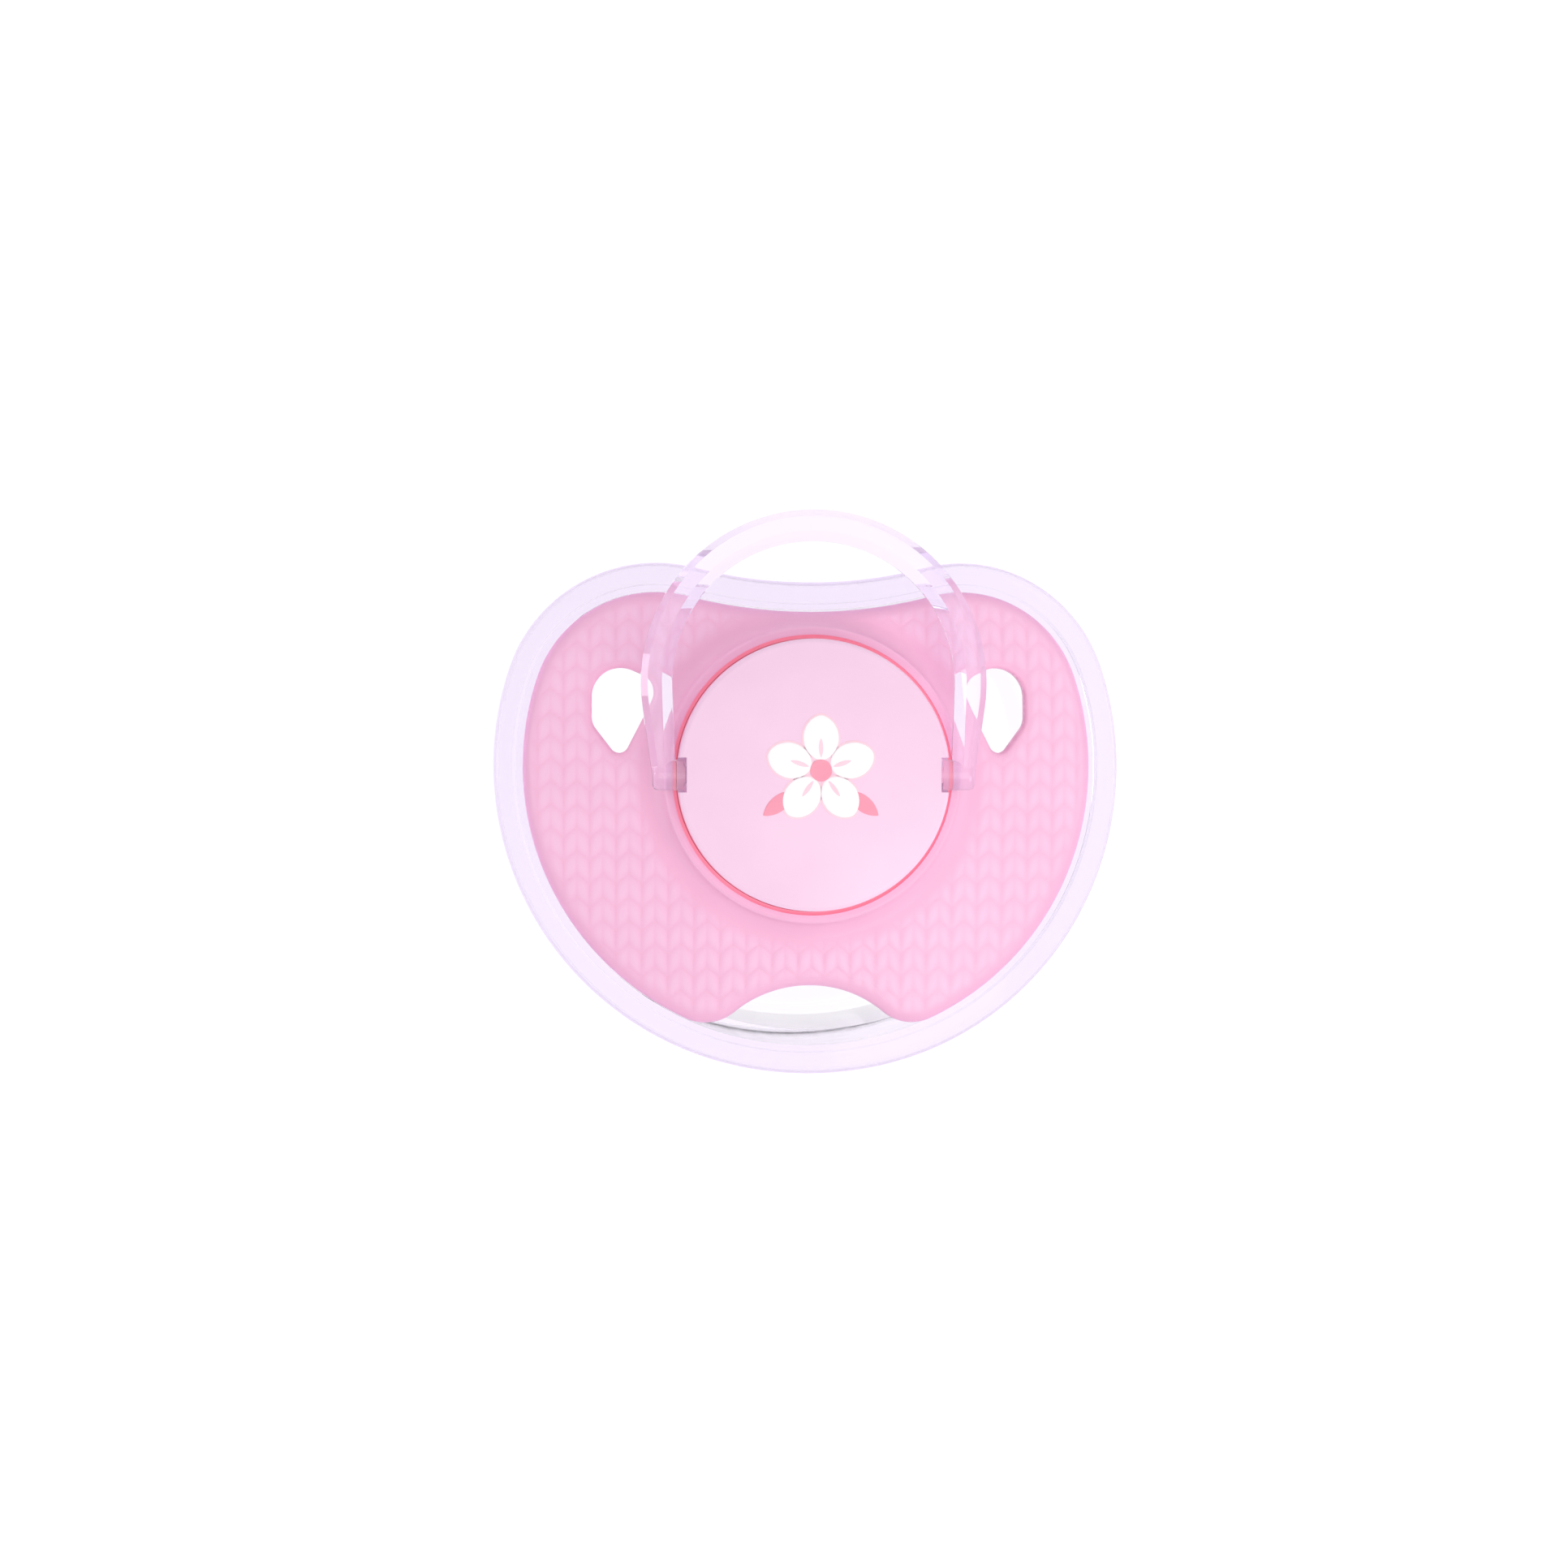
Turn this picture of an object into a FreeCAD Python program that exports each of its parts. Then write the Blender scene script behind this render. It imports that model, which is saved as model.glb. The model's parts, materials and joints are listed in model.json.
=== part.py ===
import FreeCAD, Part
import math
import os

# A baby's pacifier with a swinging ring handle, lying in its clear protective cap.
#
# Millimetres, +Z up. The pacifier lies nipple down, as it does when its cap stands on a table.
# The origin is the centre of the cap's flat foot, on the nipple's axis. +Y points to the
# baby's nose and +X to the right, as someone facing the baby sees it.
#
# Each function below makes one sub-part, and write() saves it as parts/NODE.step.

V = FreeCAD.Vector
X_AXIS = V(1, 0, 0)
Z_AXIS = V(0, 0, 1)

# ---- driving dimensions ----------------------------------------------------------------

# The shield's edge, a chain of tangent circles.
HALF_WIDTH = 22.45
SIDE_R = 21.95
SHOULDER_R = 9.67
SHOULDER_Y = 4.75
DIP_R = 37.3
DIP_Y = 12.83
LOBE_R = 3.56
LOBE_BOTTOM = -19.5
NOTCH_Y = -16.54

# The shield's plate, curved more across the face than down it.
SHIELD_T = 2.2
CURVE_X = 46.0
CURVE_Y = 75.0
EDGE_ROUND = 0.9

# Each vent hole is the hull of these circles: (x, y, radius).
VENT = [(13.75, 6.55, 1.5), (14.95, 2.55, 0.8), (15.5, 4.6, 1.6), (14.8, 6.15, 2.3)]

# The collar round the button, and the pocket inside it.
COLLAR_R = 11.65
COLLAR_RISE = 1.1
COLLAR_FLARE = 1.3
COLLAR_LIP_ROUND = 0.3
MOUTH_R = 10.98
MOUTH_DEPTH = 0.45
POCKET_R = 10.7
POCKET_DEPTH = 1.0
BORE_R = 5.9

# The button.
BUTTON_R = 10.65
BUTTON_EDGE_RISE = 3.2
BUTTON_DOME = 1.4
BUTTON_WALL = 1.2
BUTTON_ROUND = 0.45
CLAMP_R = 5.6
CLAMP_WALL = 0.8
WEB_SPARE = 0.6
SNAP_DROP = 0.3
SNAP_BEAD = 0.3
SNAP_GROOVE = 0.36

# The ring handle and its pivot.
RING_T = 2.1
RING_R = 13.5
RING_IN_R = 11.05
RING_CENTRE_Y = 7.2
RING_FOOT_X = 12.6
RING_FOOT_IN_X = 10.78
RING_AXIS_RISE = 2.4
RING_BEVEL = 0.5
RING_IN_BEVEL = 0.85
RING_BACK_ROUND = 0.4
LUG_R = 1.2
LUG_IN_X = 10.1
LUG_ROUND = 0.5
PIN_R = 0.65
PIN_IN_X = 8.4
PIN_CHAMFER = 0.2
PIN_PLAY = 0.05
SADDLE_X = (8.3, 9.4)
SADDLE_HALF = 1.6
SLOT_GAP = 0.16

# The nipple, hollow silicone with a flattened bulb.
NIPPLE_LENGTH = 27.3
NECK_R = 5.2
BULB_X = 7.9
BULB_Y = 5.9
BULB_Z = 8.8
NIPPLE_WALL = 1.1
FLANGE_R = 7.4
FLANGE_T = 1.6
SHOULDER_DROP = 0.65
ROOT_R = 6.8
ROOT_T = 0.7
ROOT_SLOPE = 1.2

# The plug that holds the nipple.
PLUG_R = 4.6
PLUG_FLANGE_T = 1.0
PLUG_DEPTH = 4.2
PLUG_WALL = 1.2
PLUG_CHAMFER = 0.5
AIR_HOLE_R = 0.6

# The protective cap.
CAP_LIP = 2.3
CAP_GAP = 0.6
CAP_WALL = 1.25
CAP_FLOOR = 1.5
CAP_TAPER = 1.9
CAP_FOOT_ROUND = 2.6
CAP_BOTTOM_GROW = 2.5
CAP_SEAT_GAP = 0.12
LIP_PROUD = 0.3
CAP_LIP_ROUND = 0.7
TIP_GAP = 2.2

# ---- values worked out from them -------------------------------------------------------

FRONT = CAP_FLOOR + TIP_GAP + NIPPLE_LENGTH + SHOULDER_DROP + SHIELD_T
BACK = FRONT - SHIELD_T
POCKET_FLOOR = FRONT - POCKET_DEPTH
COLLAR_TOP = FRONT + COLLAR_RISE
AXIS_Z = FRONT + RING_AXIS_RISE
BUTTON_EDGE = FRONT + BUTTON_EDGE_RISE
BUTTON_TOP = BUTTON_EDGE + BUTTON_DOME
FLANGE_TOP = POCKET_FLOOR + FLANGE_T
PLUG_TOP = FLANGE_TOP + PLUG_FLANGE_T
PLUG_LOW = FLANGE_TOP - PLUG_DEPTH
NIPPLE_ROOT = BACK - SHOULDER_DROP
OVERLAP = 0.2
REACH = 60.0


# ---- outlines ----------------------------------------------------------------------------

def edge_circles():
    """The shield's edge as circles (x, y, radius, side), counter-clockwise from the notch.

    side is 1 where the edge bulges out and -1 where it curves in."""
    dip = (0.0, DIP_Y + DIP_R)
    shoulder_x = math.sqrt((DIP_R + SHOULDER_R) ** 2 - (dip[1] - SHOULDER_Y) ** 2)
    side_x = HALF_WIDTH - SIDE_R
    side_y = SHOULDER_Y - math.sqrt((SIDE_R - SHOULDER_R) ** 2 - (shoulder_x - side_x) ** 2)
    lobe_y = LOBE_BOTTOM + LOBE_R
    lobe_x = side_x + math.sqrt((SIDE_R - LOBE_R) ** 2 - (side_y - lobe_y) ** 2)
    rise = NOTCH_Y - lobe_y
    notch_r = (lobe_x ** 2 + rise ** 2 - LOBE_R ** 2) / (2 * (LOBE_R + rise))
    right = [
        (lobe_x, lobe_y, LOBE_R, 1),
        (side_x, side_y, SIDE_R, 1),
        (shoulder_x, SHOULDER_Y, SHOULDER_R, 1),
    ]
    left = [(-x, y, r, side) for x, y, r, side in reversed(right)]
    return [(0.0, NOTCH_Y - notch_r, notch_r, -1)] + right + [(*dip, DIP_R, -1)] + left


def cap_circles():
    """The cap's outline: the shield's, with one round sweep in place of the lobes and notch."""
    _, _, right, shoulder, dip, far_shoulder, left, _ = edge_circles()
    sweep_r = SIDE_R + CAP_BOTTOM_GROW
    sweep_y = right[1] + math.sqrt(CAP_BOTTOM_GROW ** 2 - right[0] ** 2)
    return [(0.0, sweep_y, sweep_r, 1), right, shoulder, dip, far_shoulder, left]


def touch_point(a, b):
    """Where two tangent circles of an outline touch."""
    if a[3] != b[3]:
        first, second = a, b
    elif a[2] < b[2]:
        first, second = b, a
    else:
        first, second = a, b
    away = V(second[0] - first[0], second[1] - first[1], 0).normalize()
    return V(first[0], first[1], 0) + away * first[2]


def outline(circles, offset, z):
    """A closed wire at height z, that far outside a chain of tangent circles."""
    grown = [(x, y, r + side * offset, side) for x, y, r, side in circles]
    count = len(grown)
    corners = [touch_point(grown[i - 1], grown[i]) for i in range(count)]
    edges = []
    for i, (x, y, r, side) in enumerate(grown):
        start, end = corners[i], corners[(i + 1) % count]
        first = math.atan2(start.y - y, start.x - x)
        last = math.atan2(end.y - y, end.x - x)
        turn = (last - first) * side % (2 * math.pi)
        middle = first + side * turn / 2
        via = V(x + r * math.cos(middle), y + r * math.sin(middle), 0)
        lift = V(0, 0, z)
        edges.append(Part.Arc(start + lift, via + lift, end + lift).toShape())
    return Part.Wire(edges)


def hull_wire(circles, z):
    """The outline round three or more circles (x, y, radius) given counter-clockwise."""
    count = len(circles)
    ends = []
    for i in range(count):
        (ax, ay, ar), (bx, by, br) = circles[i], circles[(i + 1) % count]
        span = math.hypot(bx - ax, by - ay)
        along = math.atan2(by - ay, bx - ax)
        normal = along - math.acos((ar - br) / span)
        out = V(math.cos(normal), math.sin(normal), 0)
        ends.append((V(ax, ay, z) + out * ar, V(bx, by, z) + out * br, normal))
    edges = []
    for i in range(count):
        x, y, r = circles[i]
        arrive, leave = ends[i - 1], ends[i]
        turn = (leave[2] - arrive[2]) % (2 * math.pi)
        middle = arrive[2] + turn / 2
        via = V(x + r * math.cos(middle), y + r * math.sin(middle), z)
        edges.append(Part.Arc(arrive[1], via, leave[0]).toShape())
        edges.append(Part.makeLine(leave[0], leave[1]))
    return Part.Wire(edges)


# ---- solids used by several parts ---------------------------------------------------------

def prism(wire, height):
    return Part.Face(wire).extrude(V(0, 0, height))


def under_curve(drop):
    """Everything under the shield's front surface, lowered by drop: a thick slice of a torus."""
    apex = FRONT - drop
    rx, ry = CURVE_X - drop, CURVE_Y - drop
    half = 32.0
    sag = rx - math.sqrt(rx ** 2 - half ** 2)
    low = apex - ry + 15.0
    arc = Part.Arc(V(-half, 0, apex - sag), V(0, 0, apex), V(half, 0, apex - sag)).toShape()
    corners = [V(half, 0, apex - sag), V(half, 0, low), V(-half, 0, low), V(-half, 0, apex - sag)]
    face = Part.Face(Part.Wire([arc] + Part.makePolygon(corners).Edges))
    swing = 36.0
    centre = V(0, 0, apex - ry)
    face.rotate(centre, X_AXIS, -swing)
    return face.revolve(centre, X_AXIS, 2 * swing)


def disc(radius, low, high):
    return Part.makeCylinder(radius, high - low, V(0, 0, low))


def tube(outer, inner, low, high):
    return disc(outer, low, high).cut(disc(inner, low, high))


def spun(points):
    """A profile of (radius, height) points turned about the nipple's axis."""
    corners = [V(r, 0, z) for r, z in points]
    return Part.Face(Part.makePolygon(corners + corners[:1])).revolve(V(0, 0, 0), Z_AXIS, 360)


def box(x0, x1, y0, y1, z0, z1):
    return Part.makeBox(x1 - x0, y1 - y0, z1 - z0, V(x0, y0, z0))


def rod(radius, x0, x1):
    """A round bar on the ring's pivot axis."""
    return Part.makeCylinder(radius, x1 - x0, V(x0, 0, AXIS_Z), X_AXIS)


def mirrored(shape):
    return shape.mirror(V(0, 0, 0), X_AXIS)


def both_sides(shape):
    return [shape, mirrored(shape)]


def snap_ring(radius, proud):
    """The shape of the bead that locks the button in its pocket, a low ridge round it."""
    centre = FRONT - SNAP_DROP
    return spun([
        (radius - proud, centre - proud),
        (radius, centre - proud),
        (radius + proud, centre),
        (radius, centre + proud),
        (radius - proud, centre + proud),
    ])


def bearing():
    """The round hole that a ring pin turns in, half in a saddle and half in the button."""
    return rod(PIN_R + PIN_PLAY, SADDLE_X[0] - 1, BUTTON_R)


# ---- the sub-parts --------------------------------------------------------------------------

def shield():
    """The mouth guard: a curved plate with vents, a collar, a pocket and the pivot saddles."""
    plate = prism(outline(edge_circles(), 0, 0), REACH)
    plate = plate.common(under_curve(0)).cut(under_curve(SHIELD_T))
    rim = [e for e in plate.Edges if abs(e.tangentAt(e.FirstParameter).z) < 0.9]
    plate = plate.makeFillet(EDGE_ROUND, rim)

    body = plate.fuse(disc(COLLAR_R, BACK + 2 * OVERLAP, COLLAR_TOP)).removeSplitter()
    foot = [e for e in body.Edges if on_collar_foot(e)]
    body = body.makeFillet(COLLAR_FLARE, foot)
    top = [e for e in body.Edges if at_height(e, COLLAR_TOP)]
    body = body.makeFillet(COLLAR_LIP_ROUND, top)

    body = body.cut(disc(POCKET_R, POCKET_FLOOR, REACH))
    body = body.cut(disc(MOUTH_R, COLLAR_TOP - MOUTH_DEPTH, REACH))
    body = body.cut(disc(BORE_R, 0, REACH))
    body = body.cut(snap_ring(POCKET_R, SNAP_GROOVE))
    near, far = SADDLE_X
    foot = POCKET_FLOOR - OVERLAP
    saddle = box(near, far, -SADDLE_HALF, SADDLE_HALF, foot, AXIS_Z - PIN_PLAY)
    saddle = saddle.cut(bearing())
    body = body.fuse(both_sides(saddle))
    vent = prism(hull_wire(VENT, 0), REACH)
    return body.cut(both_sides(vent)).removeSplitter()


def on_collar_foot(edge):
    """True for the edge where the collar's wall meets the plate."""
    points = edge.discretize(9)
    on_wall = all(abs(math.hypot(p.x, p.y) - COLLAR_R) < 0.01 for p in points)
    return on_wall and all(BACK < p.z < FRONT for p in points)


def at_height(edge, z):
    return not edge.Degenerated and all(abs(p.z - z) < 0.01 for p in edge.discretize(5))


def nipple_half(depth, bulb, inset):
    """Half the nipple's width at that depth below its root, with its bulb's half width.

    inset is 0 for the outside and the wall's thickness for the inside."""
    neck = (NECK_R - inset) * math.sqrt(max(0.0, 1 - (depth / 16.0) ** 4))
    middle = NIPPLE_LENGTH - BULB_Z
    across = (depth - middle) / (BULB_Z - inset)
    round_part = (bulb - inset) * math.sqrt(max(0.0, 1 - across ** 2))
    blend = 5
    return (neck ** blend + round_part ** blend) ** (1 / blend)


def nipple_loft(inset):
    """The nipple's outside, or its hollow, as a loft through ellipses."""
    length = NIPPLE_LENGTH - inset
    sections = []
    count = 18
    for i in range(count):
        depth = length * math.sin(math.pi / 2 * i / count) + 0.004 * i
        wide = nipple_half(depth, BULB_X, inset)
        deep = nipple_half(depth, BULB_Y, inset)
        ring = Part.Ellipse(V(0, 0, NIPPLE_ROOT - depth), wide + 0.001, min(wide, deep))
        sections.append(Part.Wire(ring.toShape()))
    return Part.makeLoft(sections, True, False)


def nipple():
    """Hollow silicone: a flange in the pocket, a neck through the bore, and the bulb."""
    low = NIPPLE_ROOT - ROOT_T
    grip = spun([
        (0, FLANGE_TOP),
        (FLANGE_R, FLANGE_TOP),
        (FLANGE_R, POCKET_FLOOR),
        (BORE_R, POCKET_FLOOR),
        (BORE_R, NIPPLE_ROOT),
        (ROOT_R, NIPPLE_ROOT),
        (ROOT_R, low),
        (NECK_R, low - ROOT_SLOPE),
        (0, low - ROOT_SLOPE),
    ])
    body = grip.fuse(nipple_loft(0))
    hollow = nipple_loft(NIPPLE_WALL).fuse(disc(PLUG_R, PLUG_LOW, FLANGE_TOP))
    return body.cut(hollow).removeSplitter()


def nipple_plug():
    """The hard cup that spreads the nipple's neck in the bore and clamps its flange."""
    body = spun([
        (0, PLUG_TOP),
        (FLANGE_R, PLUG_TOP),
        (FLANGE_R, FLANGE_TOP),
        (PLUG_R, FLANGE_TOP),
        (PLUG_R, PLUG_LOW + PLUG_CHAMFER),
        (PLUG_R - PLUG_CHAMFER, PLUG_LOW),
        (0, PLUG_LOW),
    ])
    cup = disc(PLUG_R - PLUG_WALL, PLUG_LOW + PLUG_WALL, PLUG_TOP)
    return body.cut(cup).cut(disc(AIR_HOLE_R, PLUG_LOW, PLUG_TOP))


def dome(radius, edge, rise):
    """A shallow round-topped disc: its rim at height edge, its middle that much higher."""
    ball = (radius ** 2 + rise ** 2) / (2 * rise)
    top, rim, low = edge + rise, V(radius, 0, edge), POCKET_FLOOR
    half = radius / 2
    via = V(half, 0, top - ball + math.sqrt(ball ** 2 - half ** 2))
    arc = Part.Arc(V(0, 0, top), via, rim).toShape()
    sides = Part.makePolygon([rim, V(radius, 0, low), V(0, 0, low), V(0, 0, top)])
    return Part.Face(Part.Wire([arc] + sides.Edges)).revolve(V(0, 0, 0), Z_AXIS, 360)


def button():
    """The domed front button, which clamps the plug and closes the pivots from above."""
    outer = dome(BUTTON_R, BUTTON_EDGE, BUTTON_DOME)
    rim = [e for e in outer.Edges if at_height(e, BUTTON_EDGE)]
    outer = outer.makeFillet(BUTTON_ROUND, rim)
    hollow = dome(BUTTON_R - BUTTON_WALL, BUTTON_EDGE - BUTTON_WALL, BUTTON_DOME)
    body = outer.cut(hollow)

    near, far = SADDLE_X
    wide = SADDLE_HALF + WEB_SPARE
    slot_x = LUG_IN_X - SLOT_GAP
    web = box(near, slot_x, -wide, wide, AXIS_Z, BUTTON_TOP).common(outer)
    clamp_rib = tube(CLAMP_R, CLAMP_R - CLAMP_WALL, PLUG_TOP, BUTTON_TOP).common(outer)
    body = body.fuse(both_sides(web) + [clamp_rib])

    slot_half = LUG_R + SLOT_GAP
    slot = box(slot_x, BUTTON_R + 1, -slot_half, slot_half, AXIS_Z, REACH)
    slot = slot.fuse(rod(slot_half, slot_x, BUTTON_R + 1))
    room = SADDLE_HALF + SLOT_GAP
    saddle_room = box(near - SLOT_GAP, far + SLOT_GAP, -room, room, POCKET_FLOOR, AXIS_Z)
    body = body.cut(both_sides(slot) + both_sides(bearing()) + both_sides(saddle_room))
    bead = snap_ring(BUTTON_R, SNAP_BEAD).cut(disc(BUTTON_R - OVERLAP, 0, REACH))
    return body.fuse(bead).removeSplitter()


def tangent_to(foot, centre, radius):
    """Where the line from foot touches a circle, on its right-hand side."""
    gap = foot - centre
    swing = math.acos(radius / gap.Length)
    angle = math.atan2(gap.y, gap.x) + swing
    return centre + V(math.cos(angle), math.sin(angle), 0) * radius


def ring_handle():
    """The U-shaped ring, with a lug and a pivot pin on each foot."""
    low = AXIS_Z - RING_T / 2
    centre = V(0, RING_CENTRE_Y, 0)
    foot = V(RING_FOOT_X, 0, 0)
    foot_in = V(RING_FOOT_IN_X, 0, 0)
    touch = tangent_to(foot, centre, RING_R)
    touch_in = tangent_to(foot_in, centre, RING_IN_R)

    def other(p):
        return V(-p.x, p.y, p.z)

    top = centre + V(0, RING_R, 0)
    top_in = centre + V(0, RING_IN_R, 0)
    bow = Part.Wire([
        Part.makeLine(foot, touch),
        Part.Arc(touch, top, other(touch)).toShape(),
        Part.makeLine(other(touch), other(foot)),
        Part.makeLine(other(foot), other(foot_in)),
        Part.makeLine(other(foot_in), other(touch_in)),
        Part.Arc(other(touch_in), top_in, touch_in).toShape(),
        Part.makeLine(touch_in, foot_in),
        Part.makeLine(foot_in, foot),
    ])
    bow.translate(V(0, 0, low))
    body = prism(bow, RING_T)

    front = [e for e in body.Edges if at_height(e, low + RING_T) and not at_foot(e)]
    body = body.makeChamfer(RING_BEVEL, [e for e in front if on_ring_outside(e)])
    front = [e for e in body.Edges if at_height(e, low + RING_T) and not at_foot(e)]
    body = body.makeChamfer(RING_IN_BEVEL, [e for e in front if on_ring_inside(e)])
    back = [e for e in body.Edges if at_height(e, low) and not at_foot(e)]
    body = body.makeFillet(RING_BACK_ROUND, back)

    lug = rod(LUG_R, LUG_IN_X, RING_FOOT_X)
    outer_end = [e for e in lug.Edges if all(p.x > RING_FOOT_X - 0.01 for p in e.discretize(5))]
    lug = lug.makeFillet(LUG_ROUND, outer_end)
    pin = rod(PIN_R, PIN_IN_X, LUG_IN_X + OVERLAP)
    tip = [e for e in pin.Edges if all(p.x < PIN_IN_X + 0.01 for p in e.discretize(5))]
    pin = pin.makeChamfer(PIN_CHAMFER, tip)
    return body.fuse(both_sides(lug) + both_sides(pin)).removeSplitter()


def at_foot(edge):
    return all(abs(p.y) < 0.01 for p in edge.discretize(3))


def ring_radius_at_middle(edge):
    """How far the edge's middle point lies from the middle of the ring."""
    middle = edge.discretize(3)[1]
    return math.hypot(middle.x, middle.y - RING_CENTRE_Y)


def on_ring_outside(edge):
    return ring_radius_at_middle(edge) > RING_R - RING_BEVEL / 2


def on_ring_inside(edge):
    return ring_radius_at_middle(edge) < RING_IN_R + RING_IN_BEVEL


def cap_body(inset, low, round_r):
    """The cap's tapering body as a block: its outside, or its hollow with an inset."""
    offset = CAP_GAP - inset
    high = FRONT + 4.0
    foot = outline(cap_circles(), offset - CAP_TAPER, low)
    mouth = outline(cap_circles(), offset, high)
    body = Part.makeLoft([foot, mouth], True, True)
    bottom = [e for e in body.Edges if at_height(e, low)]
    return body.makeFillet(round_r, bottom)


def protective_cap():
    """The clear cover: a tapering cup, a ledge the shield lies on, and a rounded lip."""
    mouth = under_curve(-LIP_PROUD)
    seat = under_curve(SHIELD_T + CAP_SEAT_GAP)
    lip = prism(outline(cap_circles(), CAP_LIP, 0), REACH)
    lip = lip.common(mouth).cut(under_curve(SHIELD_T + LIP_PROUD))
    lip_edges = [e for e in lip.Edges if abs(e.tangentAt(e.FirstParameter).z) < 0.9]
    lip = lip.makeFillet(CAP_LIP_ROUND, lip_edges)

    cup = cap_body(0, 0, CAP_FOOT_ROUND).common(mouth)
    hollow = cap_body(CAP_WALL, CAP_FLOOR, CAP_FOOT_ROUND - CAP_WALL)
    socket = prism(outline(cap_circles(), CAP_GAP, 0), REACH).cut(seat)
    return lip.fuse(cup).cut(hollow).cut(socket).removeSplitter()


PARTS = {
    "protective_cap": protective_cap,
    "shield": shield,
    "nipple": nipple,
    "nipple_plug": nipple_plug,
    "button": button,
    "ring_handle": ring_handle,
}


def write(name, shape):
    solids = shape.Solids
    whole = solids[0] if len(solids) == 1 else Part.makeCompound(solids)
    whole.exportStep(os.path.join("parts", name + ".step"))
    size = whole.BoundBox
    print(f"{name:16} solids {len(solids)} valid {whole.isValid()} volume {whole.Volume:9.2f}"
          f"  x {size.XMin:.2f}..{size.XMax:.2f} y {size.YMin:.2f}..{size.YMax:.2f}"
          f" z {size.ZMin:.2f}..{size.ZMax:.2f}")


os.makedirs("parts", exist_ok=True)
for part_name, make in PARTS.items():
    write(part_name, make())
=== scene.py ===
import json
import math

import bmesh
import bpy
import numpy as np
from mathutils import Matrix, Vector


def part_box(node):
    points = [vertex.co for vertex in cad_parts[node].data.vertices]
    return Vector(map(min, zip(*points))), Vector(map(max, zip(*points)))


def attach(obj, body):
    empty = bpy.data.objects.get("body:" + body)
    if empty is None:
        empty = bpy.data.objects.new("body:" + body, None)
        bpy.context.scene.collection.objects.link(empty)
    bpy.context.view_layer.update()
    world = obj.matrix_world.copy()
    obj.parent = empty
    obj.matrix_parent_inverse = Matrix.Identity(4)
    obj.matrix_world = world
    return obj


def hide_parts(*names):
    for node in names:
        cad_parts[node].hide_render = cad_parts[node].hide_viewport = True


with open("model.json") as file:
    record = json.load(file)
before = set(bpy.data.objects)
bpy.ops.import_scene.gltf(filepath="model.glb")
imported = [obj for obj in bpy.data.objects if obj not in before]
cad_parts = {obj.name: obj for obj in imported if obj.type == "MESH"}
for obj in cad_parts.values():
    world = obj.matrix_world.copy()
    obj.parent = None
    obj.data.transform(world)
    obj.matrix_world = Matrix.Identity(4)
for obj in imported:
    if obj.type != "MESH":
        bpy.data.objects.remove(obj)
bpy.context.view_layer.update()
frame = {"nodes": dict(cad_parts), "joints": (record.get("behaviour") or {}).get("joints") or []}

# A pacifier lying in its clear cap, seen from above. The cap, ring, nipple, plug and button are
# the CAD nodes with better materials. The shield is a finer mesh of the same shape with its knit
# relief, and it replaces the CAD node. The print on the button is a small flower of thin patches.

MM = 0.001

# ---- sizes, in millimetres -------------------------------------------------------------

PIVOT_Z = next(j for j in frame["joints"] if j["name"] == "ring_swing")["pos_m"][2] / MM
PIVOT_RISE = 2.4
FRONT = PIVOT_Z - PIVOT_RISE
SHIELD_T = 2.2
CURVE_X = 46.0
CURVE_Y = 75.0
EDGE_ROUND = 0.9

SIDE_R = 21.95
HALF_WIDTH = 22.45
SHOULDER_R = 9.67
SHOULDER_Y = 4.75
DIP_R = 37.3
DIP_Y = 12.83
LOBE_R = 3.56
LOBE_BOTTOM = -19.5
NOTCH_Y = -16.54
VENT = [(13.75, 6.55, 1.5), (14.95, 2.55, 0.8), (15.5, 4.6, 1.6), (14.8, 6.15, 2.3)]
VENT_ROUND = 0.35

BORE_R = 5.9
POCKET_R = 10.7
MOUTH_R = 10.98
MOUTH_DEPTH = 0.45
POCKET_FLOOR = FRONT - 1.0
SADDLE_FOOT = POCKET_FLOOR - 0.2
COLLAR_R = 11.65
COLLAR_TOP = FRONT + 1.1
COLLAR_FLARE = 1.3
LIP_ROUND = 0.3
SNAP_Z = FRONT - 0.3
SNAP_GROOVE = 0.36
PIN_BEARING_R = 0.7
PIN_PLAY = 0.05
SADDLE_X = (8.3, 9.4)
SADDLE_HALF = 1.6

BUTTON_R = 10.65
BUTTON_DOME = 1.4
BUTTON_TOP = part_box("button")[1].z / MM

STITCH_W = 2.03
STITCH_H = 1.83
STITCH_DEPTH = 0.10


# ---- camera --------------------------------------------------------------------------------

VIEW_WIDTH = 123.4
CAMERA_DISTANCE = 600.0
CAMERA_LEAN = math.radians(3.4)
AIM = (-2.0, -0.7, 31.0)


def make_camera():
    data = bpy.data.cameras.new("camera")
    data.lens = data.sensor_width * CAMERA_DISTANCE / VIEW_WIDTH
    data.clip_start = 0.05
    data.clip_end = 20.0
    camera = bpy.data.objects.new("camera", data)
    bpy.context.scene.collection.objects.link(camera)
    back = Vector((-math.sin(CAMERA_LEAN), 0, math.cos(CAMERA_LEAN)))
    camera.location = (Vector(AIM) + back * CAMERA_DISTANCE) * MM
    camera.rotation_euler = (0, -CAMERA_LEAN, 0)
    bpy.context.scene.camera = camera


# ---- light and floor -----------------------------------------------------------------------

LAMP_TARGET = Vector((0, 0, 0.03))
SIDE_LAMPS = ((-0.7, 0.05, 0.6), (0.7, 0.05, 0.5), (-0.5, 0.5, 0.25), (0.5, 0.5, 0.2))
HORIZON = (0.52, 0.55, 0.74, 1)
SKY = (1, 1, 1, 1)
SKY_FROM = 0.3
SKY_STRENGTH = 0.69
BACKDROP = (0.97, 0.97, 0.98, 1)
FLOOR_GLOW = 0.86


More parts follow.
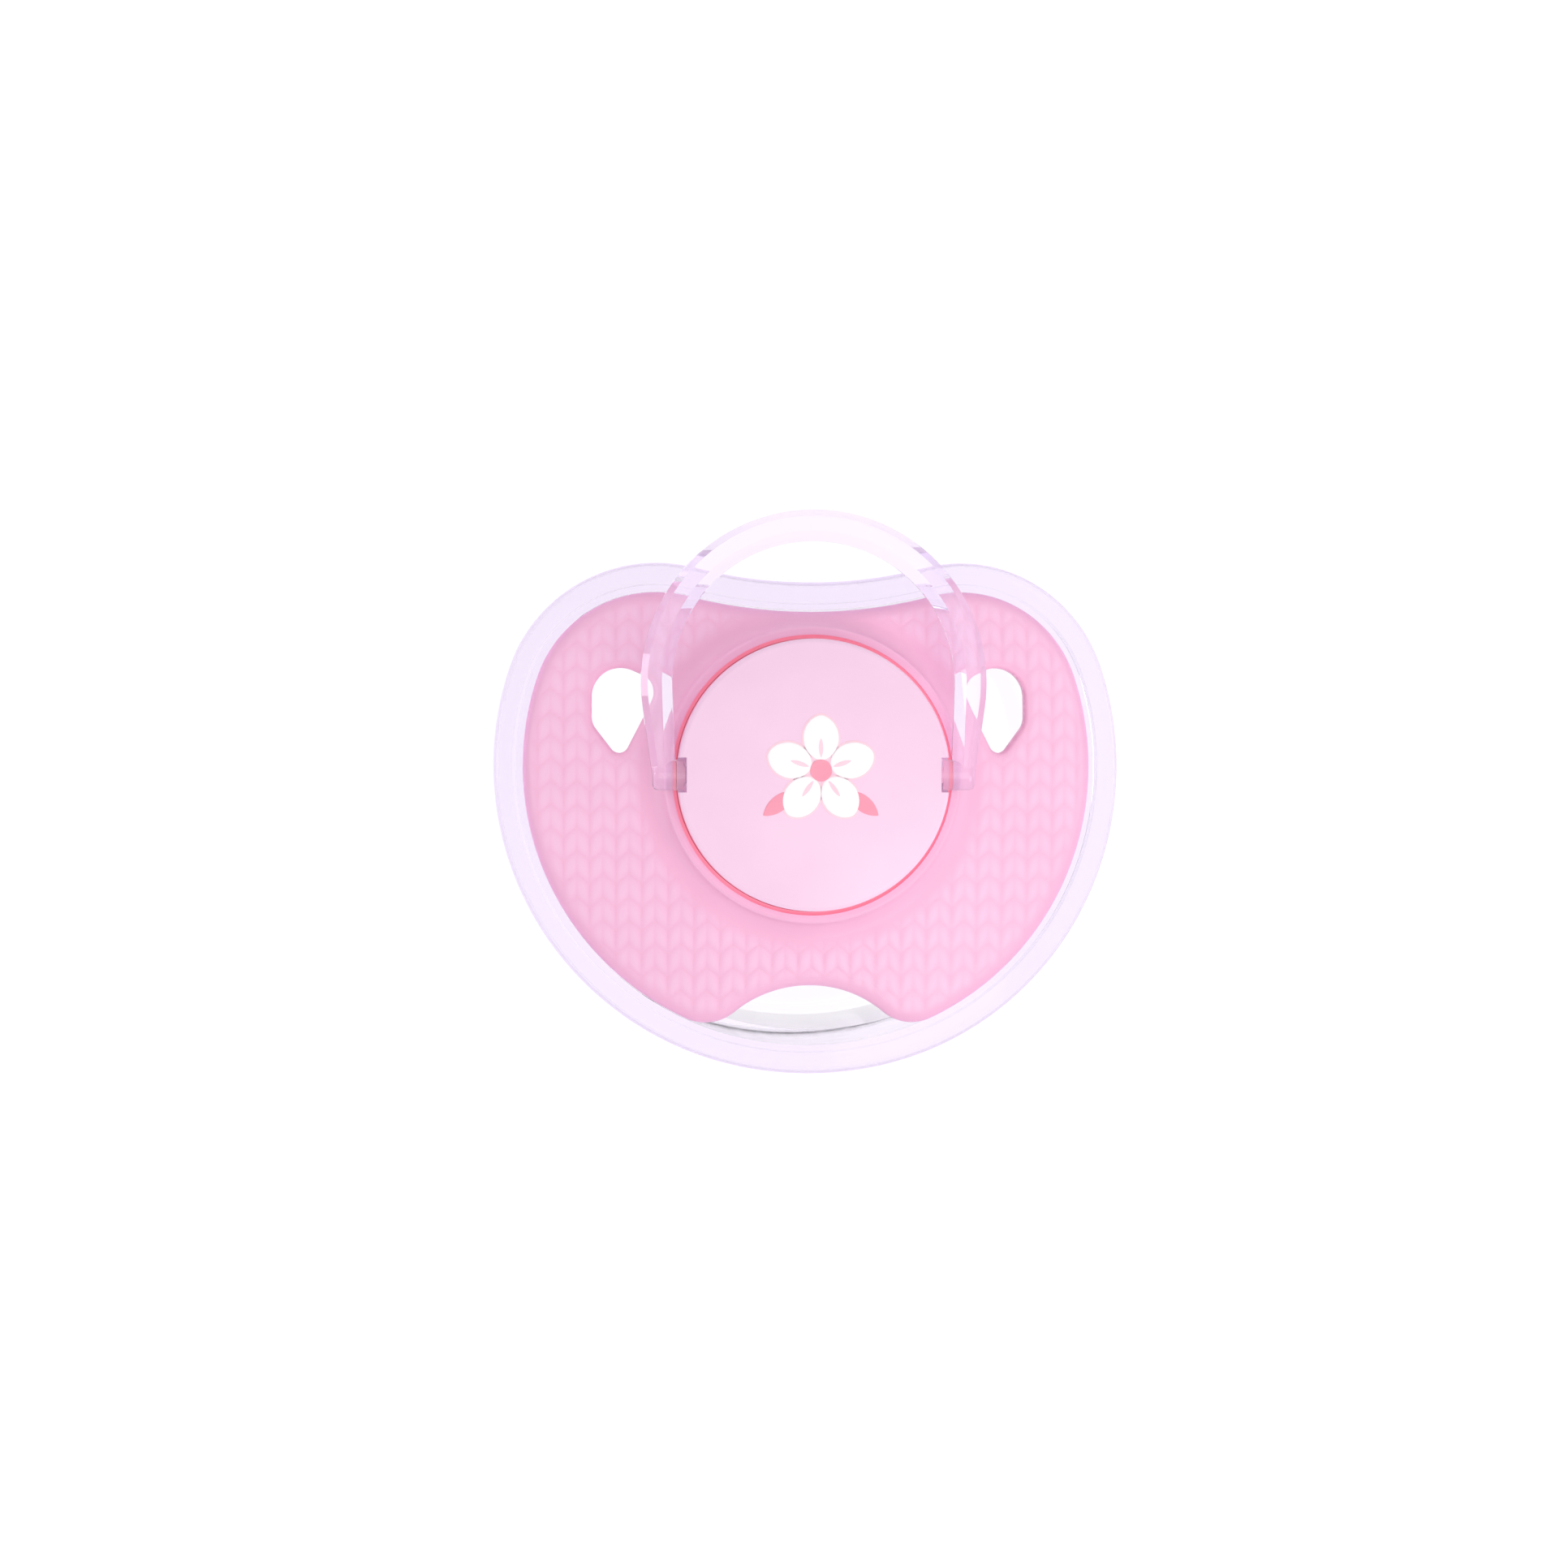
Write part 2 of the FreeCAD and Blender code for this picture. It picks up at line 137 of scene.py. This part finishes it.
def area_light(name, place, size, power):
    """A round lamp, size across in metres, that faces the pacifier."""
    data = bpy.data.lights.new(name, "AREA")
    data.shape = "DISK"
    data.size = size
    data.energy = power
    lamp = bpy.data.objects.new(name, data)
    bpy.context.scene.collection.objects.link(lamp)
    lamp.location = place
    aim = LAMP_TARGET - Vector(place)
    lamp.rotation_euler = aim.to_track_quat("-Z", "Y").to_euler()


def make_light():
    """A pale sky that darkens to the horizon, which only reflections see, and the lamps."""
    world = bpy.data.worlds.new("studio")
    bpy.context.scene.world = world
    world.use_nodes = True
    nodes, links = world.node_tree.nodes, world.node_tree.links
    sky = nodes["Background"]
    coords = nodes.new("ShaderNodeTexCoord")
    split = nodes.new("ShaderNodeSeparateXYZ")
    ramp = nodes.new("ShaderNodeValToRGB")
    low, high = ramp.color_ramp.elements
    low.position, low.color = 0.0, HORIZON
    high.position, high.color = SKY_FROM, SKY
    links.new(coords.outputs["Generated"], split.inputs[0])
    links.new(split.outputs["Z"], ramp.inputs[0])
    links.new(ramp.outputs[0], sky.inputs["Color"])
    sky.inputs["Strength"].default_value = SKY_STRENGTH
    plain = nodes.new("ShaderNodeBackground")
    plain.inputs["Color"].default_value = BACKDROP
    path = nodes.new("ShaderNodeLightPath")
    mix = nodes.new("ShaderNodeMixShader")
    links.new(path.outputs["Is Camera Ray"], mix.inputs[0])
    links.new(sky.outputs[0], mix.inputs[1])
    links.new(plain.outputs[0], mix.inputs[2])
    links.new(mix.outputs[0], nodes["World Output"].inputs["Surface"])
    area_light("key", (0.42, -0.5, 0.75), 0.6, 2.8)
    area_light("top", (0.1, -0.1, 1.2), 0.9, 2.4)
    for x, y, power in SIDE_LAMPS:
        area_light("side", (x, y, 0.1), 0.2, power)
    bpy.context.scene.view_settings.view_transform = "Standard"


def make_floor():
    """A white floor with a glow of its own, like a light table."""
    bpy.ops.mesh.primitive_circle_add(vertices=96, radius=4.0, fill_type="NGON")
    floor = bpy.context.object
    floor.name = "floor"
    floor.data.materials.append(floor_material())


# ---- materials -----------------------------------------------------------------------------

# Painted glow in the groove round the button: a brighter rose colour and a little emission on the
# pocket's wall and the button's foot stand in for light coming through the pink plastic.
SEAM_PAINTED_GLOW_ROSE = (1.0, 0.36, 0.50)
SEAM_PAINTED_GLOW_STRENGTH = 0.16
GRAIN_SCALE = 2600.0
GRAIN_HEIGHT = 0.00004
PLASTIC_IOR = 1.49


def new_material(name):
    """A material with only a Principled shader, and its tree."""
    material = bpy.data.materials.new(name)
    material.use_nodes = True
    tree = material.node_tree
    return material, tree, tree.nodes["Principled BSDF"]


def node(tree, kind, **values):
    made = tree.nodes.new(kind)
    for key, value in values.items():
        setattr(made, key, value)
    return made


def noise(tree, scale):
    """Noise in the object's own space; scale is features per metre."""
    coords = node(tree, "ShaderNodeTexCoord")
    grain = node(tree, "ShaderNodeTexNoise")
    grain.inputs["Scale"].default_value = scale
    grain.inputs["Detail"].default_value = 3.0
    tree.links.new(coords.outputs["Object"], grain.inputs["Vector"])
    return grain.outputs["Fac"]


def spread(tree, fac, low, high):
    """Maps noise onto a range."""
    ramp = node(tree, "ShaderNodeMapRange")
    ramp.inputs["From Min"].default_value = 0.3
    ramp.inputs["From Max"].default_value = 0.7
    ramp.inputs["To Min"].default_value = low
    ramp.inputs["To Max"].default_value = high
    tree.links.new(fac, ramp.inputs["Value"])
    return ramp.outputs["Result"]


def blend_colours(tree, fac, first, second):
    mix = node(tree, "ShaderNodeMix", data_type="RGBA")
    tree.links.new(fac, mix.inputs["Factor"])
    for socket, colour in (("A", first), ("B", second)):
        place = [s for s in mix.inputs if s.name == socket and s.type == "RGBA"][0]
        if isinstance(colour, tuple):
            place.default_value = (*colour, 1)
        else:
            tree.links.new(colour, place)
    return [s for s in mix.outputs if s.type == "RGBA"][0]


def grain_bump(tree, shader):
    """The fine texture of a moulded surface."""
    bump = node(tree, "ShaderNodeBump")
    bump.inputs["Strength"].default_value = 0.25
    bump.inputs["Distance"].default_value = GRAIN_HEIGHT
    tree.links.new(noise(tree, GRAIN_SCALE), bump.inputs["Height"])
    tree.links.new(bump.outputs[0], shader.inputs["Normal"])


def floor_material():
    material, tree, shader = new_material("floor_paper")
    shader.inputs["Base Color"].default_value = (0.22, 0.22, 0.22, 1)
    shader.inputs["Emission Color"].default_value = (1.0, 0.99, 1.0, 1)
    shader.inputs["Emission Strength"].default_value = FLOOR_GLOW
    shader.inputs["Roughness"].default_value = 0.9
    shader.inputs["Specular IOR Level"].default_value = 0.1
    return material


def moulded(name, deep, pale, roughness, attribute=None):
    """Opaque moulded plastic in two close colours, blended by noise or by a mesh attribute.

    With an attribute, the noise only makes the colour a little uneven."""
    material, tree, shader = new_material(name)
    cloud = spread(tree, noise(tree, 180.0), 0.0, 1.0)
    if attribute is None:
        colour = blend_colours(tree, cloud, deep, pale)
    else:
        # With the knit's height as the attribute, this blend is painted shade in the grooves and
        # painted light on the stitches.
        lobes = node(tree, "ShaderNodeAttribute", attribute_name=attribute)
        colour = blend_colours(tree, lobes.outputs["Fac"], deep, pale)
        tired = blend_colours(tree, cloud, (1.0, 1.0, 1.0), (0.97, 0.955, 0.965))
        times = node(tree, "ShaderNodeMix", data_type="RGBA", blend_type="MULTIPLY")
        times.inputs["Factor"].default_value = 1.0
        sides = [s for s in times.inputs if s.type == "RGBA"]
        tree.links.new(colour, sides[0])
        tree.links.new(tired, sides[1])
        colour = [s for s in times.outputs if s.type == "RGBA"][0]
    tree.links.new(colour, shader.inputs["Base Color"])
    rough = spread(tree, noise(tree, 900.0), roughness - 0.04, roughness + 0.04)
    tree.links.new(rough, shader.inputs["Roughness"])
    shader.inputs["IOR"].default_value = PLASTIC_IOR
    grain_bump(tree, shader)
    return material


def clear(name, tint, roughness, ior, weight=1.0):
    """Clear plastic or silicone that lets lamps through, so that it casts no black shadow."""
    material, tree, shader = new_material(name)
    shader.inputs["Base Color"].default_value = (*tint, 1)
    shader.inputs["Transmission Weight"].default_value = weight
    shader.inputs["IOR"].default_value = ior
    rough = spread(tree, noise(tree, 400.0), roughness * 0.85, roughness * 1.15)
    tree.links.new(rough, shader.inputs["Roughness"])
    see_through = node(tree, "ShaderNodeBsdfTransparent")
    see_through.inputs["Color"].default_value = (*tint, 1)
    path = node(tree, "ShaderNodeLightPath")
    mix = node(tree, "ShaderNodeMixShader")
    tree.links.new(path.outputs["Is Shadow Ray"], mix.inputs[0])
    tree.links.new(shader.outputs[0], mix.inputs[1])
    tree.links.new(see_through.outputs[0], mix.inputs[2])
    tree.links.new(mix.outputs[0], tree.nodes["Material Output"].inputs["Surface"])
    return material


def recolour(tree, fac, colour):
    """Blends a material from its own colour to another one."""
    shader = tree.nodes["Principled BSDF"]
    plain = shader.inputs["Base Color"]
    own = plain.links[0].from_socket if plain.links else tuple(plain.default_value)[:3]
    tree.links.new(blend_colours(tree, fac, own, colour), plain)


def changed_towards(material, low, high, colour):
    """Blends a material from its own colour at height high to another one at height low."""
    tree = material.node_tree
    coords = node(tree, "ShaderNodeTexCoord")
    split = node(tree, "ShaderNodeSeparateXYZ")
    ramp = node(tree, "ShaderNodeMapRange")
    ramp.inputs["From Min"].default_value = high * MM
    ramp.inputs["From Max"].default_value = low * MM
    tree.links.new(coords.outputs["Object"], split.inputs[0])
    tree.links.new(split.outputs["Z"], ramp.inputs["Value"])
    recolour(tree, ramp.outputs["Result"], colour)
    return material


def paint_glow_where(material, attribute, colour, strength):
    """Another colour where a mesh attribute is 1, and a painted glow there: emission that stands in for
    light coming through the plastic.
    """
    tree = material.node_tree
    shader = tree.nodes["Principled BSDF"]
    spot = node(tree, "ShaderNodeAttribute", attribute_name=attribute)
    recolour(tree, spot.outputs["Fac"], colour)
    times = node(tree, "ShaderNodeMath", operation="MULTIPLY")
    times.inputs[1].default_value = strength
    tree.links.new(spot.outputs["Fac"], times.inputs[0])
    tree.links.new(times.outputs[0], shader.inputs["Emission Strength"])
    shader.inputs["Emission Color"].default_value = (*colour, 1)
    return material


def finish_node(name, material):
    """Gives a CAD node its material."""
    piece = frame["nodes"][name]
    piece.data.materials.clear()
    piece.data.materials.append(material)


# ---- the shield ----------------------------------------------------------------------------

def edge_arcs():
    """The right half of the shield's edge from the notch up, as arcs of tangent circles.

    Each arc is its centre, radius, side and the two directions that bound it."""
    dip = np.array((0.0, DIP_Y + DIP_R))
    shoulder_x = math.sqrt((DIP_R + SHOULDER_R) ** 2 - (dip[1] - SHOULDER_Y) ** 2)
    shoulder = np.array((shoulder_x, SHOULDER_Y))
    side_x = HALF_WIDTH - SIDE_R
    reach = SIDE_R - SHOULDER_R
    side = np.array((side_x, SHOULDER_Y - math.sqrt(reach ** 2 - (shoulder_x - side_x) ** 2)))
    lobe_y = LOBE_BOTTOM + LOBE_R
    lobe_x = side_x + math.sqrt((SIDE_R - LOBE_R) ** 2 - (side[1] - lobe_y) ** 2)
    lobe = np.array((lobe_x, lobe_y))
    rise = NOTCH_Y - lobe_y
    notch_r = (lobe_x ** 2 + rise ** 2 - LOBE_R ** 2) / (2 * (LOBE_R + rise))
    notch = np.array((0.0, NOTCH_Y - notch_r))
    up = np.array((0.0, 1.0))
    return [
        (notch, notch_r, -1, up, lobe - notch),
        (lobe, LOBE_R, 1, notch - lobe, lobe - side),
        (side, SIDE_R, 1, lobe - side, shoulder - side),
        (shoulder, SHOULDER_R, 1, shoulder - side, dip - shoulder),
        (dip, DIP_R, -1, shoulder - dip, -up),
    ]


def cross(a, b):
    return a[0] * b[1] - a[1] * b[0]


def inset(x, y):
    """How far points lie inside the shield's edge."""
    nearest = np.full(np.shape(x), np.inf)
    for centre, radius, side, first, last in edge_arcs():
        v = (np.abs(x) - centre[0], y - centre[1])
        distance = side * (radius - np.hypot(*v))
        within = (cross(first, v) * side >= -1e-6) & (cross(v, last) * side >= -1e-6)
        nearest = np.where(within, np.minimum(nearest, distance), nearest)
    return nearest


def edge_radius(angles):
    """The distance from the axis to the shield's edge along each angle."""
    low, high = np.full(angles.shape, 12.0), np.full(angles.shape, 25.0)
    for _ in range(40):
        middle = (low + high) / 2
        inside = inset(middle * np.cos(angles), middle * np.sin(angles)) > 0
        low, high = np.where(inside, middle, low), np.where(inside, high, middle)
    return (low + high) / 2


def outside_vent(x, y):
    """How far points lie outside the nearer vent hole."""
    furthest = np.full(np.shape(x), -np.inf)
    for turn in np.linspace(0, 2 * math.pi, 120, endpoint=False):
        ux, uy = math.cos(turn), math.sin(turn)
        reach = max(cx * ux + cy * uy + r for cx, cy, r in VENT)
        furthest = np.maximum(furthest, np.abs(x) * ux + y * uy - reach)
    return furthest


def curved(x, y, drop):
    """The shield's front surface, or its back one with the drop between them."""
    rx, ry = CURVE_X - drop, CURVE_Y - drop
    across = CURVE_Y - CURVE_X + np.sqrt(rx ** 2 - x ** 2)
    return FRONT - CURVE_Y + np.sqrt(across ** 2 - y ** 2)


def rounding(depth, radius):
    """How far a rounded edge falls away at that distance in from it."""
    left = np.clip(radius - depth, 0, radius)
    return radius - np.sqrt(radius ** 2 - left ** 2)


def smooth_step(value, low, high):
    t = np.clip((value - low) / (high - low), 0, 1)
    return t * t * (3 - 2 * t)


def knit(x, y):
    """The knit relief from 0 in its grooves to 1 on its stitches: columns of inverted Vs."""
    column = x / STITCH_W + 0.5
    across = np.abs(2 * (column - np.floor(column)) - 1)
    row = (-2.3 - y) / STITCH_H - 0.42 * across ** 1.15
    down = row - np.floor(row)
    along = np.clip(down ** 0.55 * (1 - down) ** 0.45 * 2.0, 0, 1)
    leaf = np.abs(across - (0.38 + 0.12 * down)) / 0.56
    return along * np.clip(1 - leaf ** 2.2, 0, 1) ** 0.8


def knit_fade(x, y):
    """Where the knit shows: on the plate, clear of the collar, the edge and the vents."""
    fade = smooth_step(np.hypot(x, y), COLLAR_R + COLLAR_FLARE - 0.1, COLLAR_R + 2.6)
    fade = fade * smooth_step(inset(x, y), 0.2, 1.4)
    return fade * smooth_step(outside_vent(x, y), 0.25, 0.9)


def front_surface(x, y):
    z = curved(x, y, 0.0)
    flare_end = COLLAR_R + COLLAR_FLARE
    z = z + rounding(np.hypot(x, y) - COLLAR_R, COLLAR_FLARE) * (np.hypot(x, y) < flare_end)
    z = z + STITCH_DEPTH * knit(x, y) * knit_fade(x, y)
    return z - rounding(inset(x, y), EDGE_ROUND) - rounding(outside_vent(x, y), VENT_ROUND)


def back_surface(x, y):
    return curved(x, y, SHIELD_T) + rounding(inset(x, y), EDGE_ROUND)


def lathe_object(name, rows):
    """A closed mesh from rings of points, each an array (points, 3), the last joined to the first."""
    count, length = len(rows), len(rows[0])
    points = np.concatenate(rows) * MM
    faces = []
    for i in range(count):
        here, there = i * length, (i + 1) % count * length
        for j in range(length):
            k = (j + 1) % length
            faces.append((here + j, here + k, there + k, there + j))
    mesh = bpy.data.meshes.new(name)
    mesh.from_pydata(points.tolist(), [], faces)
    piece = bpy.data.objects.new(name, mesh)
    bpy.context.scene.collection.objects.link(piece)
    return piece


def prism_object(name, outline, low, high):
    """A closed prism over an outline of (x, y) points."""
    count = len(outline)
    points = [(x * MM, y * MM, z * MM) for z in (low, high) for x, y in outline]
    faces = [(i, (i + 1) % count, count + (i + 1) % count, count + i) for i in range(count)]
    faces += [tuple(reversed(range(count))), tuple(range(count, 2 * count))]
    mesh = bpy.data.meshes.new(name)
    mesh.from_pydata(points, [], faces)
    piece = bpy.data.objects.new(name, mesh)
    bpy.context.scene.collection.objects.link(piece)
    return piece


def cut(piece, cutter):
    """Takes the cutter away from the piece, and removes it."""
    tool = piece.modifiers.new("cut", "BOOLEAN")
    tool.operation = "DIFFERENCE"
    tool.solver = "EXACT"
    tool.object = cutter
    bpy.context.view_layer.update()
    graph = bpy.context.evaluated_depsgraph_get()
    result = bpy.data.meshes.new_from_object(piece.evaluated_get(graph))
    piece.modifiers.clear()
    piece.data = result
    bpy.data.objects.remove(cutter)


def vent_outline(side):
    """The vent's edge as points, counter-clockwise."""
    points = []
    for turn in np.linspace(0, 2 * math.pi, 96, endpoint=False):
        ux, uy = math.cos(turn), math.sin(turn)
        cx, cy, r = max(VENT, key=lambda c: c[0] * ux + c[1] * uy + c[2])
        points.append((side * (cx + r * ux), cy + r * uy))
    return points if side > 0 else points[::-1]


def collar_profile():
    """(radius, height) points from the bore, round the pocket and over the collar's lip."""
    points = [
        (BORE_R, POCKET_FLOOR),
        (POCKET_R, POCKET_FLOOR),
        (POCKET_R, SNAP_Z - SNAP_GROOVE),
        (POCKET_R + SNAP_GROOVE, SNAP_Z),
        (POCKET_R, SNAP_Z + SNAP_GROOVE),
        (POCKET_R, COLLAR_TOP - MOUTH_DEPTH),
        (MOUTH_R, COLLAR_TOP - MOUTH_DEPTH),
        (MOUTH_R, COLLAR_TOP),
    ]
    for turn in np.linspace(math.pi / 2, 0, 5):
        lip = COLLAR_R - LIP_ROUND
        points.append((lip + LIP_ROUND * math.cos(turn), COLLAR_TOP - LIP_ROUND * (1 - math.sin(turn))))
    return points


def saddle_object(side):
    """The half-round block in the pocket that a ring pin turns in."""
    top = PIVOT_Z - PIN_PLAY
    profile = [(-SADDLE_HALF, SADDLE_FOOT), (SADDLE_HALF, SADDLE_FOOT), (SADDLE_HALF, top)]
    for turn in np.linspace(0, -math.pi, 13):
        y, z = PIN_BEARING_R * math.cos(turn), PIN_BEARING_R * math.sin(turn)
        profile.append((y, top + PIN_PLAY + z))
    profile.append((-SADDLE_HALF, top))
    count = len(profile)
    points = [(side * x * MM, y * MM, z * MM) for x in SADDLE_X for y, z in profile]
    faces = [(i, count + i, count + (i + 1) % count, (i + 1) % count) for i in range(count)]
    faces += [tuple(range(count)), tuple(reversed(range(count, 2 * count)))]
    mesh = bpy.data.meshes.new("saddle")
    mesh.from_pydata(points, [], faces)
    piece = bpy.data.objects.new("saddle", mesh)
    bpy.context.scene.collection.objects.link(piece)
    return piece


def join(pieces):
    """Joins several objects into the first."""
    bpy.ops.object.select_all(action="DESELECT")
    for piece in pieces:
        piece.select_set(True)
    bpy.context.view_layer.objects.active = pieces[0]
    bpy.ops.object.join()
    return pieces[0]


def make_shield():
    angles = np.linspace(0, 2 * math.pi, 720, endpoint=False)
    cosine, sine = np.cos(angles), np.sin(angles)

    def ring(radius, height):
        x, y = radius * cosine, radius * sine
        z = height(x, y) if callable(height) else np.full(angles.shape, height)
        return np.stack((x, y, z), axis=1)

    edge = edge_radius(angles)
    step = 0.05
    slant = inset((edge - step) * cosine, (edge - step) * sine) / step
    rounded = edge - EDGE_ROUND / slant
    rows = [ring(np.full(angles.shape, r), z) for r, z in collar_profile()]
    for share in np.linspace(0.0, 1.0, 78):
        rows.append(ring(COLLAR_R + (rounded - COLLAR_R) * share, front_surface))
    turns = np.linspace(0, math.pi / 2, 11)[1:]
    for turn in turns:
        rows.append(ring(edge - EDGE_ROUND * (1 - math.sin(turn)) / slant, front_surface))
    for turn in turns[::-1]:
        rows.append(ring(edge - EDGE_ROUND * (1 - math.sin(turn)) / slant, back_surface))
    for share in np.linspace(0.0, 1.0, 14):
        rows.append(ring(rounded + (BORE_R - rounded) * share, back_surface))
    piece = lathe_object("shield_knit", rows)
    for side in (1, -1):
        cut(piece, prism_object("vent", vent_outline(side), 0, 60))
    piece = join([piece] + [saddle_object(side) for side in (1, -1)])
    tidy_normals(piece, 40)
    store_knit(piece)
    piece.data.materials.clear()
    # The deeper pink lies in the knit's grooves and the paler pink on its stitches: painted shade in
    # the grooves and painted light on the stitches, on top of the relief.
    plastic = moulded(
        "shield_pink_knit", (0.905, 0.47, 0.67), (0.93, 0.555, 0.755), 0.45, attribute="stitch")
    # The pocket's wall round the button gets the painted glow: rose colour and emission.
    piece.data.materials.append(paint_glow_where(plastic, "seam", SEAM_PAINTED_GLOW_ROSE, SEAM_PAINTED_GLOW_STRENGTH))
    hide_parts("shield")
    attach(piece, "pacifier")


def tidy_normals(piece, degrees):
    """Faces outwards, smooth but for edges sharper than that."""
    mesh = bmesh.new()
    mesh.from_mesh(piece.data)
    bmesh.ops.remove_doubles(mesh, verts=mesh.verts, dist=1e-7)
    bmesh.ops.recalc_face_normals(mesh, faces=mesh.faces)
    mesh.to_mesh(piece.data)
    mesh.free()
    piece.data.shade_smooth()
    piece.data.set_sharp_from_angle(angle=math.radians(degrees))


def store_knit(piece):
    """Stores the knit's height on each point, which the shield's colour follows as painted shade and
    painted light, and where the seam round the button is, which gets a painted glow.
    """
    count = len(piece.data.vertices)
    places = np.empty(count * 3)
    piece.data.vertices.foreach_get("co", places)
    x, y, z = places.reshape(-1, 3).T / MM
    facing = z > back_surface(x, y) + 0.9
    heights = np.where(facing, knit(x, y) * knit_fade(x, y), 0.35)
    heights = np.nan_to_num(heights, nan=0.35)
    store(piece, "stitch", heights)
    in_mouth = (z > POCKET_FLOOR) & (z < COLLAR_TOP - MOUTH_DEPTH / 2)
    store(piece, "seam", (np.hypot(x, y) < MOUTH_R + 0.05) & in_mouth)


def store(piece, name, values):
    layer = piece.data.attributes.new(name, "FLOAT", "POINT")
    layer.data.foreach_set("value", np.asarray(values, dtype=np.float32))


# ---- the print on the button --------------------------------------------------------------

INK = 0.05


def button_surface(x, y):
    ball = (BUTTON_R ** 2 + BUTTON_DOME ** 2) / (2 * BUTTON_DOME)
    return BUTTON_TOP - ball + np.sqrt(ball ** 2 - x ** 2 - y ** 2)


def ink_patch(name, centre, turn, length, width, height, point=0.0):
    """A thin leaf-shaped or round patch on the dome, as points and faces.

    point is 0 for an ellipse and towards 1 for a leaf with sharper ends."""
    around, rings = 48, 6
    angles = np.linspace(0, 2 * math.pi, around, endpoint=False)
    narrow = np.abs(np.sin(angles)) ** point
    u = length / 2 * np.cos(angles)
    v = width / 2 * np.sin(angles) * narrow
    x = centre[0] + u * math.cos(turn) - v * math.sin(turn)
    y = centre[1] + u * math.sin(turn) + v * math.cos(turn)
    levels = [(1.0, -0.06), (1.0, height * 0.6), (0.985, height)]
    levels += [(share, height) for share in np.linspace(0.9, 0.2, rings)]
    points, faces = [], []
    for share, lift in levels:
        px = centre[0] + (x - centre[0]) * share
        py = centre[1] + (y - centre[1]) * share
        pz = button_surface(px, py) + lift
        points += np.stack((px, py, pz), axis=1).tolist()
    for i in range(len(levels) - 1):
        for j in range(around):
            k = (j + 1) % around
            faces.append((i * around + j, i * around + k, (i + 1) * around + k, (i + 1) * around + j))
    last = (len(levels) - 1) * around
    faces.append(tuple(range(last, last + around)))
    faces.append(tuple(reversed(range(around))))
    mesh = bpy.data.meshes.new(name)
    mesh.from_pydata((np.array(points) * MM).tolist(), [], faces)
    piece = bpy.data.objects.new(name, mesh)
    bpy.context.scene.collection.objects.link(piece)
    return piece


def add_print(name, patches, material):
    piece = join(patches)
    piece.name = name
    tidy_normals(piece, 50)
    piece.data.materials.clear()
    piece.data.materials.append(material)
    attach(piece, "pacifier")


def make_print():
    """A plain five-petalled flower with two leaves."""
    white = moulded("ink_white", (0.98, 0.93, 0.96), (1.0, 0.96, 0.985), 0.5)
    rose = moulded("ink_rose", (0.90, 0.30, 0.42), (0.95, 0.36, 0.47), 0.5)
    blush = moulded("ink_blush", (0.95, 0.62, 0.72), (0.97, 0.68, 0.77), 0.5)
    middle = (0.45, 0.35)
    petals, rims, veins = [], [], []
    for i in range(5):
        turn = math.radians(90 + 72 * i)
        reach = 2.55
        spot = (middle[0] + reach * math.cos(turn), middle[1] + reach * math.sin(turn))
        petals.append(ink_patch("petal", spot, turn, 3.5, 2.75, INK, 0.15))
        rims.append(ink_patch("rim", spot, turn, 3.8, 3.05, INK * 0.5, 0.15))
        near = (middle[0] + 1.75 * math.cos(turn), middle[1] + 1.75 * math.sin(turn))
        veins.append(ink_patch("vein", near, turn, 1.5, 0.34, INK * 1.6, 0.6))
    leaves = []
    for side in (1, -1):
        turn = math.radians(-90 + side * 52)
        spot = (middle[0] + 4.15 * math.cos(turn), middle[1] + 4.15 * math.sin(turn))
        leaves.append(ink_patch("leaf", spot, turn, 3.1, 1.25, INK * 0.6, 0.7))
    add_print("print_leaves", leaves, rose)
    add_print("print_rims", rims, blush)
    add_print("print_petals", petals, white)
    add_print("print_veins", veins, blush)
    add_print("print_centre", [ink_patch("centre", middle, 0, 1.7, 1.7, INK * 2)], rose)


# ---- everything together -------------------------------------------------------------------

make_camera()
make_light()
make_floor()
make_shield()
make_print()

pale = moulded("button_pale", (0.90, 0.60, 0.785), (0.92, 0.63, 0.805), 0.34)
ring = clear("ring_plastic", (0.925, 0.855, 0.945), 0.03, 1.42, weight=0.93)
cover = clear("cap_plastic", (0.90, 0.82, 0.965), 0.10, 1.16)
silicone = clear("silicone", (0.94, 0.915, 0.89), 0.42, 1.38, weight=0.5)
white = moulded("plug_plastic", (0.86, 0.83, 0.86), (0.9, 0.88, 0.9), 0.35)
# The button's foot, down in the groove, fades to the painted glow's rose colour.
finish_node("button", changed_towards(pale, COLLAR_TOP - 0.2, COLLAR_TOP + 0.2, SEAM_PAINTED_GLOW_ROSE))
finish_node("ring_handle", ring)
# The cap's tint fades towards near white from 26 mm down to 12 mm: painted light that lifts the dark
# floor and wall seen through the vents and the notch.
finish_node("protective_cap", changed_towards(cover, 12.0, 26.0, (0.975, 0.97, 0.985)))
finish_node("nipple", silicone)
finish_node("nipple_plug", white)
